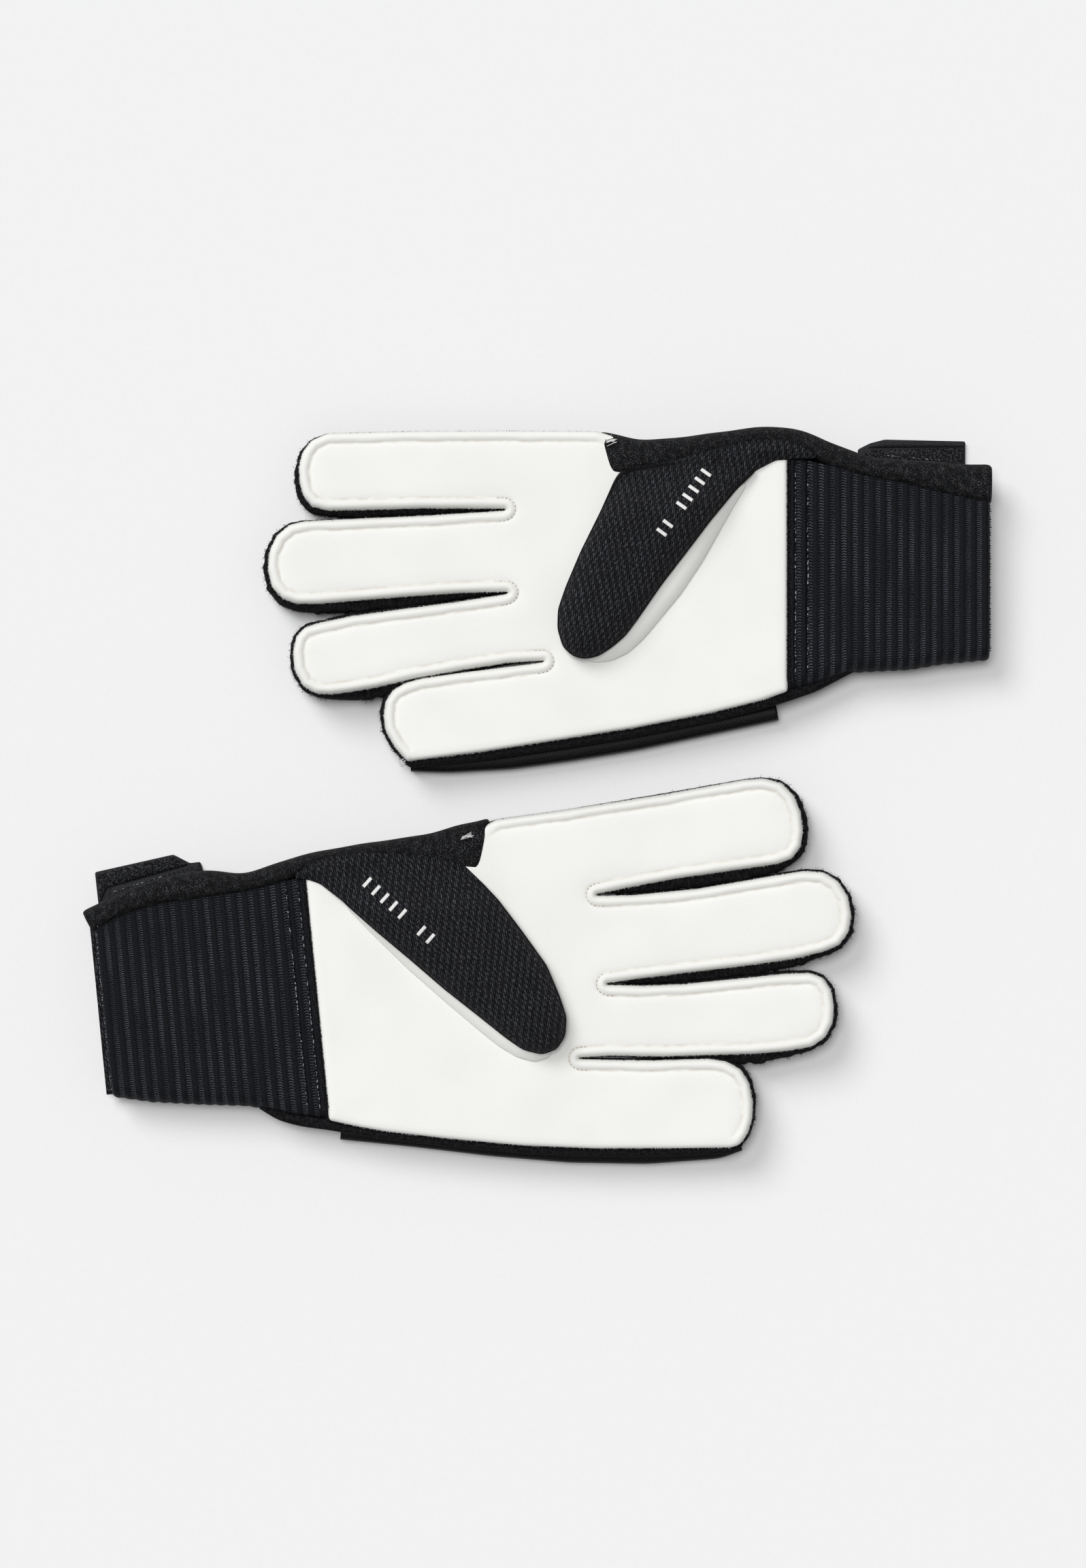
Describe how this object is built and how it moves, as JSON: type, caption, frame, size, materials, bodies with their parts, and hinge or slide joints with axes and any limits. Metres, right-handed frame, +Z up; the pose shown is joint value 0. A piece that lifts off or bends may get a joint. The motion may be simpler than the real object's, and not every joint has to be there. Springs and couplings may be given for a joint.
{
  "type": "goalkeeper gloves",
  "caption": "Pair of goalkeeper gloves lying palms up, with puffed latex palms and fingers, folded thumbs, ribbed elastic wrists and hook-and-loop straps.",
  "frame": {"origin": "middle of the pair's box, on the surface that the gloves lie on", "axes": "+Z up out of the palms; X along the hands: the right glove points to -X, the left one nearly to +X; thumbs lie on the +Y side of each hand"},
  "size_m": [0.29, 0.239, 0.0295],
  "materials": {
    "palm_latex": "matte foamed latex with a fine grainy skin and a puffed rolled edge",
    "backhand_fabric": "matte padded knit",
    "overlay": "smooth coated fabric with a low sheen and stitched edge",
    "knit": "matte spacer knit with a diagonal stitch pattern",
    "fleece": "brushed, fuzzy knit",
    "ribbed_elastic": "ribbed woven elastic, blue-black",
    "strap_webbing": "stiff laminated strap with a moulded face",
    "hook_fastener": "hook tape",
    "loop_fastener": "loop tape, brushed",
    "stitching": "black overlock and lockstitch thread",
    "white_thread": "white bar-tack thread and printed marks"
  },
  "bodies": {
    "right_palm": {"right_palm_latex": "palm_latex", "right_backhand_panel": "backhand_fabric", "right_backhand_overlay": "overlay", "right_thumb_side_panel": "knit", "right_little_side_gusset": "fleece", "right_web_index_middle": "fleece", "right_web_middle_ring": "fleece", "right_web_ring_little": "fleece", "right_wrist_elastic": "ribbed_elastic", "right_cuff_back": "knit", "right_cuff_roll": "knit", "right_loop_pad": "loop_fastener"},
    "right_index": {"right_index_latex": "palm_latex", "right_index_back": "backhand_fabric", "right_index_gusset": "fleece"},
    "right_middle": {"right_middle_latex": "palm_latex", "right_middle_back": "backhand_fabric", "right_middle_gusset": "fleece"},
    "right_ring": {"right_ring_latex": "palm_latex", "right_ring_back": "backhand_fabric", "right_ring_gusset": "fleece"},
    "right_little": {"right_little_latex": "palm_latex", "right_little_back": "backhand_fabric", "right_little_gusset": "fleece"},
    "right_thumb": {"right_thumb_latex": "palm_latex", "right_thumb_back": "knit", "right_thumb_gusset": "knit"},
    "right_strap": {"right_strap_band": "strap_webbing", "right_hook_pad": "hook_fastener"},
    "left_palm": {"left_palm_latex": "palm_latex", "left_backhand_panel": "backhand_fabric", "left_backhand_overlay": "overlay", "left_thumb_side_panel": "knit", "left_little_side_gusset": "fleece", "left_web_index_middle": "fleece", "left_web_middle_ring": "fleece", "left_web_ring_little": "fleece", "left_wrist_elastic": "ribbed_elastic", "left_cuff_back": "knit", "left_cuff_roll": "knit", "left_loop_pad": "loop_fastener"},
    "left_index": {"left_index_latex": "palm_latex", "left_index_back": "backhand_fabric", "left_index_gusset": "fleece"},
    "left_middle": {"left_middle_latex": "palm_latex", "left_middle_back": "backhand_fabric", "left_middle_gusset": "fleece"},
    "left_ring": {"left_ring_latex": "palm_latex", "left_ring_back": "backhand_fabric", "left_ring_gusset": "fleece"},
    "left_little": {"left_little_latex": "palm_latex", "left_little_back": "backhand_fabric", "left_little_gusset": "fleece"},
    "left_thumb": {"left_thumb_latex": "palm_latex", "left_thumb_back": "knit", "left_thumb_gusset": "knit"},
    "left_strap": {"left_strap_band": "strap_webbing", "left_hook_pad": "hook_fastener"}
  },
  "joints": [
    {"name": "left_lift", "type": "slide", "parent": "right_palm", "child": "left_palm", "axis": [0, 0, 1], "range_m": [0, 0.15]},
    {"name": "right_index_flex", "type": "hinge", "parent": "right_palm", "child": "right_index", "pos_m": [-0.02348, 0.10567, 0.01185], "axis": [0, 1, 0], "range_deg": [0, 85]},
    {"name": "right_middle_flex", "type": "hinge", "parent": "right_palm", "child": "right_middle", "pos_m": [-0.02348, 0.07879, 0.01185], "axis": [-0.061, 0.9981, 0], "range_deg": [0, 85]},
    {"name": "right_ring_flex", "type": "hinge", "parent": "right_palm", "child": "right_ring", "pos_m": [-0.02348, 0.05194, 0.01185], "axis": [-0.1513, 0.9885, 0], "range_deg": [0, 85]},
    {"name": "right_little_flex", "type": "hinge", "parent": "right_palm", "child": "right_little", "pos_m": [-0.01048, 0.02926, 0.01185], "axis": [-0.1461, 0.9893, 0], "range_deg": [0, 85]},
    {"name": "right_thumb_open", "type": "hinge", "parent": "right_palm", "child": "right_thumb", "pos_m": [0.07952, 0.10982, 0.0205], "axis": [-1, 0, 0], "range_deg": [0, 110]},
    {"name": "right_strap_peel", "type": "hinge", "parent": "right_palm", "child": "right_strap", "pos_m": [0.07952, 0.04372, 0.00145], "axis": [-1, 0, 0], "range_deg": [0, 180]},
    {"name": "left_index_flex", "type": "hinge", "parent": "left_palm", "child": "left_index", "pos_m": [0.02611, -0.01544, 0.01185], "axis": [0.1606, -0.987, 0], "range_deg": [0, 85]},
    {"name": "left_middle_flex", "type": "hinge", "parent": "left_palm", "child": "left_middle", "pos_m": [0.02903, -0.04498, 0.01185], "axis": [0.1139, -0.9935, 0], "range_deg": [0, 85]},
    {"name": "left_ring_flex", "type": "hinge", "parent": "left_palm", "child": "left_ring", "pos_m": [0.03169, -0.07195, 0.01185], "axis": [0.0583, -0.9983, 0], "range_deg": [0, 85]},
    {"name": "left_little_flex", "type": "hinge", "parent": "left_palm", "child": "left_little", "pos_m": [0.02128, -0.09878, 0.01185], "axis": [0.0042, -1, 0], "range_deg": [0, 85]},
    {"name": "left_thumb_open", "type": "hinge", "parent": "left_palm", "child": "left_thumb", "pos_m": [-0.07632, -0.02623, 0.0205], "axis": [-0.9952, -0.0983, 0], "range_deg": [0, 110]},
    {"name": "left_strap_peel", "type": "hinge", "parent": "left_palm", "child": "left_strap", "pos_m": [-0.06968, -0.0935, 0.00145], "axis": [-0.9952, -0.0983, 0], "range_deg": [0, 180]}
  ]
}
